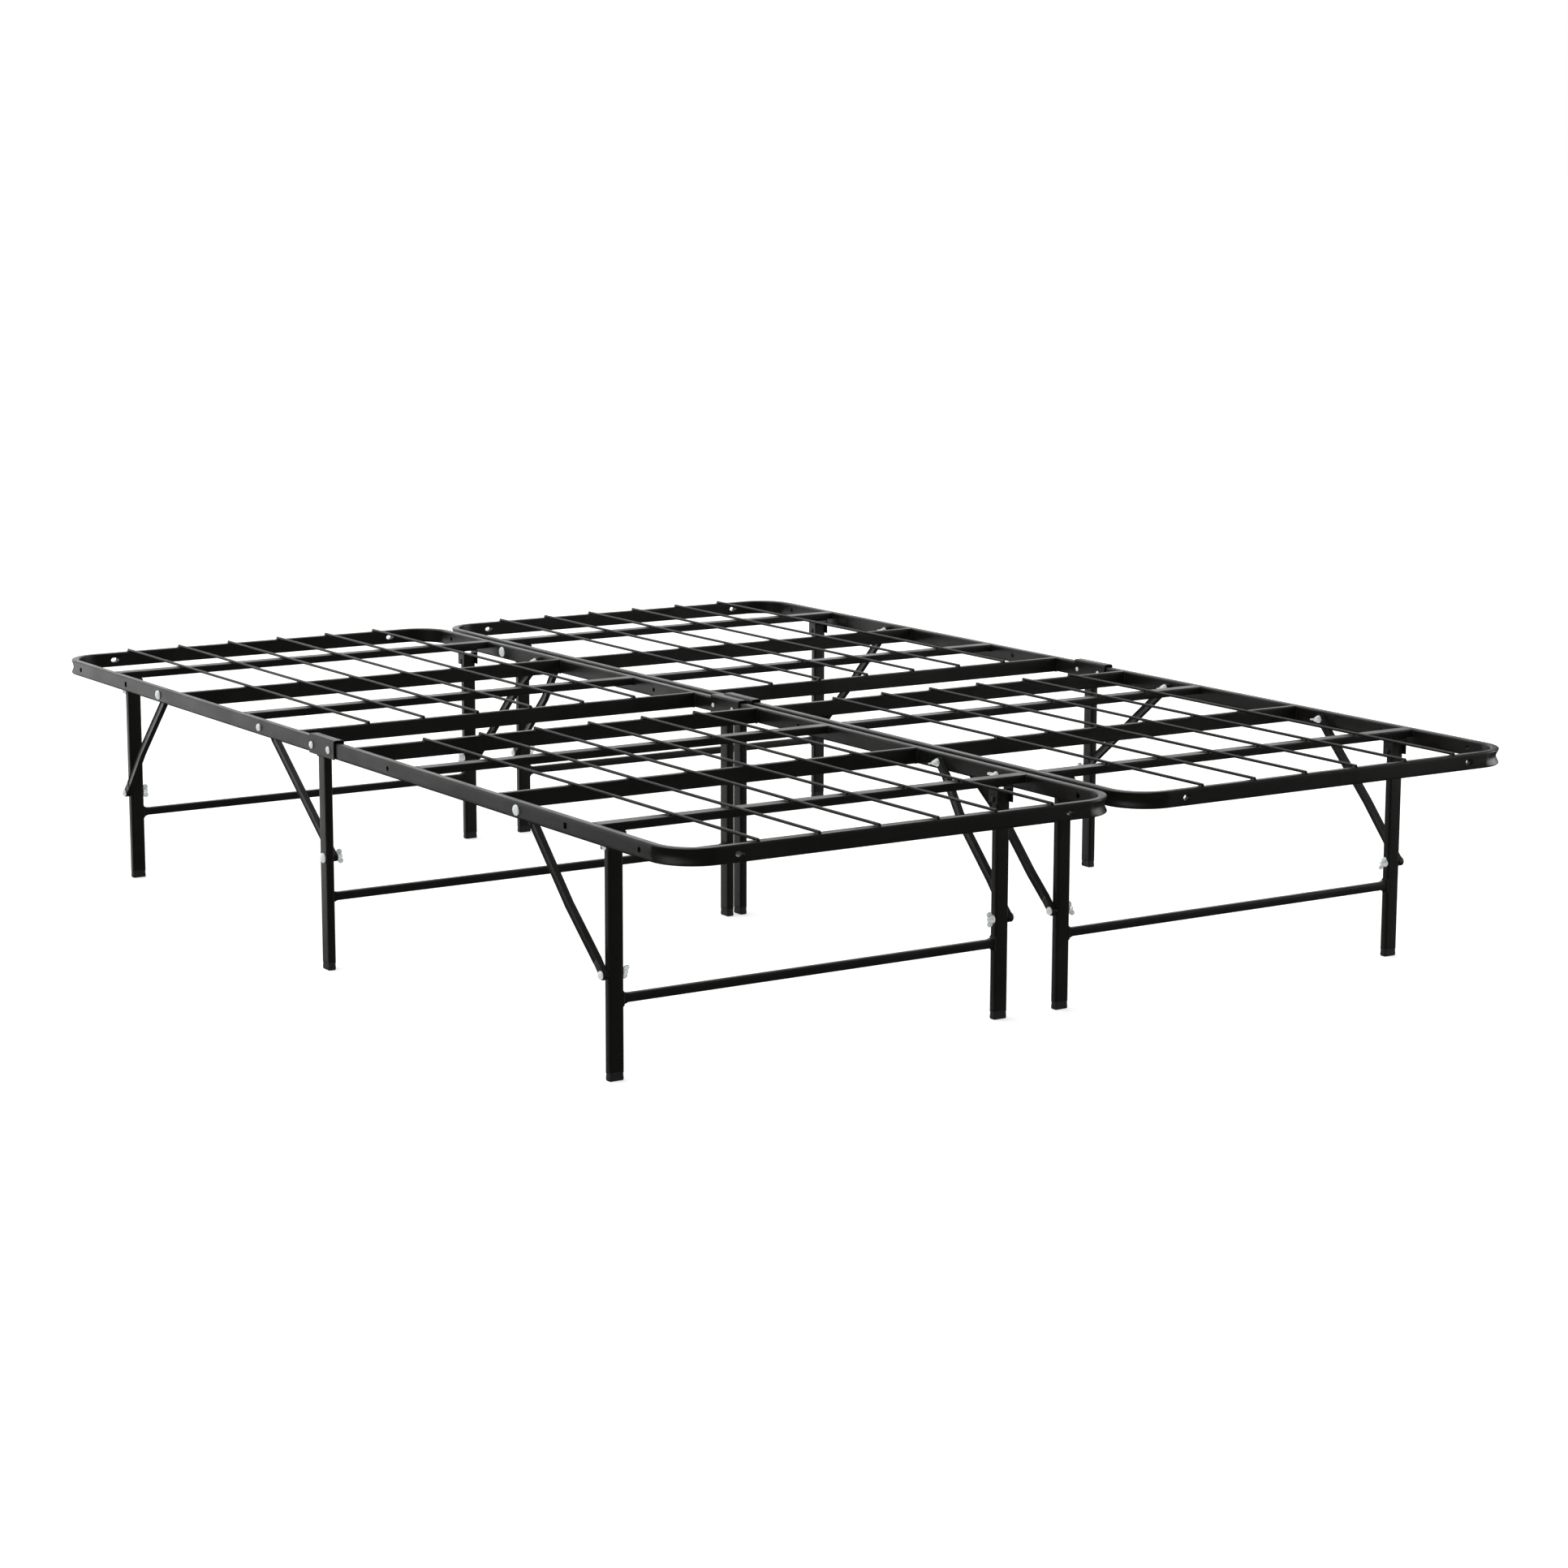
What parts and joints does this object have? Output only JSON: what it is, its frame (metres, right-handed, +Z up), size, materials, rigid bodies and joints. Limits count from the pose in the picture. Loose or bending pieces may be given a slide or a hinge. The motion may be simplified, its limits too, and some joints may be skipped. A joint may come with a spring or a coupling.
{
  "type": "folding metal bed frame",
  "caption": "Low folding steel bed frame in two bolted halves, with wire-topped slatted panels, folding end legs, fixed centre legs and diagonal braces.",
  "frame": {"origin": "on the floor, under the middle of the bed", "axes": "+Z up, +Y along the bed towards the head end, X across the bed"},
  "size_m": [1.3814, 1.905, 0.3357],
  "materials": {
    "black_powder_coat": "satin black powder coat with a fine texture",
    "zinc_hardware": "bright zinc plate",
    "foot_plastic": "matte black moulded plastic"
  },
  "bodies": {
    "head_section": {"rail_a_head": "black_powder_coat", "hanger_slat_a_head": "black_powder_coat", "deep_slat_a_head": "black_powder_coat", "flat_slat_a_head": "black_powder_coat", "wire_deck_a_head": "black_powder_coat", "rail_b_head": "black_powder_coat", "hanger_slat_b_head": "black_powder_coat", "deep_slat_b_head": "black_powder_coat", "flat_slat_b_head": "black_powder_coat", "wire_deck_b_head": "black_powder_coat", "link_bolt_head": "zinc_hardware", "link_nut_head": "zinc_hardware"},
    "foot_section": {"rail_a_foot": "black_powder_coat", "hanger_slat_a_foot": "black_powder_coat", "deep_slat_a_foot": "black_powder_coat", "flat_slat_a_foot": "black_powder_coat", "wire_deck_a_foot": "black_powder_coat", "rail_b_foot": "black_powder_coat", "hanger_slat_b_foot": "black_powder_coat", "deep_slat_b_foot": "black_powder_coat", "flat_slat_b_foot": "black_powder_coat", "wire_deck_b_foot": "black_powder_coat", "link_bolt_foot": "zinc_hardware", "link_nut_foot": "zinc_hardware"},
    "centre_frame_a": {"leg_frame_a_centre": "black_powder_coat", "foot_a_centre_outer": "foot_plastic", "foot_a_centre_inner": "foot_plastic", "hinge_a_outer": "black_powder_coat", "hinge_a_inner": "black_powder_coat"},
    "centre_frame_b": {"leg_frame_b_centre": "black_powder_coat", "foot_b_centre_outer": "foot_plastic", "foot_b_centre_inner": "foot_plastic", "hinge_b_outer": "black_powder_coat", "hinge_b_inner": "black_powder_coat"},
    "leg_a_head": {"leg_frame_a_head": "black_powder_coat", "foot_a_head_outer": "foot_plastic", "foot_a_head_inner": "foot_plastic"},
    "leg_a_foot": {"leg_frame_a_foot": "black_powder_coat", "foot_a_foot_outer": "foot_plastic", "foot_a_foot_inner": "foot_plastic"},
    "leg_b_head": {"leg_frame_b_head": "black_powder_coat", "foot_b_head_outer": "foot_plastic", "foot_b_head_inner": "foot_plastic"},
    "leg_b_foot": {"leg_frame_b_foot": "black_powder_coat", "foot_b_foot_outer": "foot_plastic", "foot_b_foot_inner": "foot_plastic"},
    "brace_body_a_head_outer": {"brace_a_head_outer": "black_powder_coat"},
    "brace_body_a_head_inner": {"brace_a_head_inner": "black_powder_coat"},
    "brace_body_a_foot_outer": {"brace_a_foot_outer": "black_powder_coat"},
    "brace_body_a_foot_inner": {"brace_a_foot_inner": "black_powder_coat"},
    "brace_body_a_centre_outer": {"brace_a_centre_outer": "black_powder_coat"},
    "brace_body_b_head_outer": {"brace_b_head_outer": "black_powder_coat"},
    "brace_body_b_head_inner": {"brace_b_head_inner": "black_powder_coat"},
    "brace_body_b_foot_outer": {"brace_b_foot_outer": "black_powder_coat"},
    "brace_body_b_foot_inner": {"brace_b_foot_inner": "black_powder_coat"},
    "brace_body_b_centre_outer": {"brace_b_centre_outer": "black_powder_coat"}
  },
  "joints": [
    {"name": "centre_a_fold", "type": "hinge", "parent": "head_section", "child": "centre_frame_a", "pos_m": [-0.3459, 0.0265, 0.32025], "axis": [1, 0, 0], "range_deg": [0, 90]},
    {"name": "centre_b_fold", "type": "hinge", "parent": "head_section", "child": "centre_frame_b", "pos_m": [0.3459, 0.0265, 0.32025], "axis": [1, 0, 0], "range_deg": [0, 90]},
    {"name": "foot_fold", "type": "hinge", "parent": "centre_frame_a", "child": "foot_section", "pos_m": [-0.3459, -0.0265, 0.32025], "axis": [1, 0, 0], "range_deg": [0, 90]},
    {"name": "leg_a_head_fold", "type": "hinge", "parent": "head_section", "child": "leg_a_head", "pos_m": [-0.3459, 0.744, 0.301], "axis": [-1, 0, 0], "range_deg": [0, 90]},
    {"name": "brace_a_head_outer_fold", "type": "hinge", "parent": "head_section", "child": "brace_body_a_head_outer", "pos_m": [-0.67, 0.562, 0.32025], "axis": [1, 0, 0], "range_deg": [0, 42]},
    {"name": "brace_a_head_inner_fold", "type": "hinge", "parent": "head_section", "child": "brace_body_a_head_inner", "pos_m": [-0.022, 0.562, 0.32025], "axis": [1, 0, 0], "range_deg": [0, 42]},
    {"name": "leg_a_foot_fold", "type": "hinge", "parent": "foot_section", "child": "leg_a_foot", "pos_m": [-0.3459, -0.744, 0.301], "axis": [1, 0, 0], "range_deg": [0, 90]},
    {"name": "brace_a_foot_outer_fold", "type": "hinge", "parent": "foot_section", "child": "brace_body_a_foot_outer", "pos_m": [-0.67, -0.562, 0.32025], "axis": [-1, 0, 0], "range_deg": [0, 42]},
    {"name": "brace_a_foot_inner_fold", "type": "hinge", "parent": "foot_section", "child": "brace_body_a_foot_inner", "pos_m": [-0.022, -0.562, 0.32025], "axis": [-1, 0, 0], "range_deg": [0, 42]},
    {"name": "leg_b_head_fold", "type": "hinge", "parent": "head_section", "child": "leg_b_head", "pos_m": [0.3459, 0.744, 0.301], "axis": [-1, 0, 0], "range_deg": [0, 90]},
    {"name": "brace_b_head_outer_fold", "type": "hinge", "parent": "head_section", "child": "brace_body_b_head_outer", "pos_m": [0.67, 0.562, 0.32025], "axis": [1, 0, 0], "range_deg": [0, 42]},
    {"name": "brace_b_head_inner_fold", "type": "hinge", "parent": "head_section", "child": "brace_body_b_head_inner", "pos_m": [0.022, 0.562, 0.32025], "axis": [1, 0, 0], "range_deg": [0, 42]},
    {"name": "leg_b_foot_fold", "type": "hinge", "parent": "foot_section", "child": "leg_b_foot", "pos_m": [0.3459, -0.744, 0.301], "axis": [1, 0, 0], "range_deg": [0, 90]},
    {"name": "brace_b_foot_outer_fold", "type": "hinge", "parent": "foot_section", "child": "brace_body_b_foot_outer", "pos_m": [0.67, -0.562, 0.32025], "axis": [-1, 0, 0], "range_deg": [0, 42]},
    {"name": "brace_b_foot_inner_fold", "type": "hinge", "parent": "foot_section", "child": "brace_body_b_foot_inner", "pos_m": [0.022, -0.562, 0.32025], "axis": [-1, 0, 0], "range_deg": [0, 42]},
    {"name": "centre_brace_a_outer_swing", "type": "hinge", "parent": "head_section", "child": "brace_body_a_centre_outer", "pos_m": [-0.67, 0.203, 0.32025], "axis": [1, 0, 0], "range_deg": [0, 135.8]},
    {"name": "centre_brace_b_outer_swing", "type": "hinge", "parent": "foot_section", "child": "brace_body_b_centre_outer", "pos_m": [0.67, -0.203, 0.32025], "axis": [-1, 0, 0], "range_deg": [0, 135.8]}
  ],
  "couplings": [
    {"joint": "centre_b_fold", "follows": "centre_a_fold", "ratio": 1},
    {"joint": "foot_fold", "follows": "centre_a_fold", "ratio": 1},
    {"joint": "leg_a_head_fold", "follows": "centre_a_fold", "ratio": 1},
    {"joint": "brace_a_head_outer_fold", "follows": "centre_a_fold", "ratio": 0.46667},
    {"joint": "brace_a_head_inner_fold", "follows": "centre_a_fold", "ratio": 0.46667},
    {"joint": "leg_a_foot_fold", "follows": "centre_a_fold", "ratio": 1},
    {"joint": "brace_a_foot_outer_fold", "follows": "centre_a_fold", "ratio": 0.46667},
    {"joint": "brace_a_foot_inner_fold", "follows": "centre_a_fold", "ratio": 0.46667},
    {"joint": "leg_b_head_fold", "follows": "centre_a_fold", "ratio": 1},
    {"joint": "brace_b_head_outer_fold", "follows": "centre_a_fold", "ratio": 0.46667},
    {"joint": "brace_b_head_inner_fold", "follows": "centre_a_fold", "ratio": 0.46667},
    {"joint": "leg_b_foot_fold", "follows": "centre_a_fold", "ratio": 1},
    {"joint": "brace_b_foot_outer_fold", "follows": "centre_a_fold", "ratio": 0.46667},
    {"joint": "brace_b_foot_inner_fold", "follows": "centre_a_fold", "ratio": 0.46667}
  ]
}
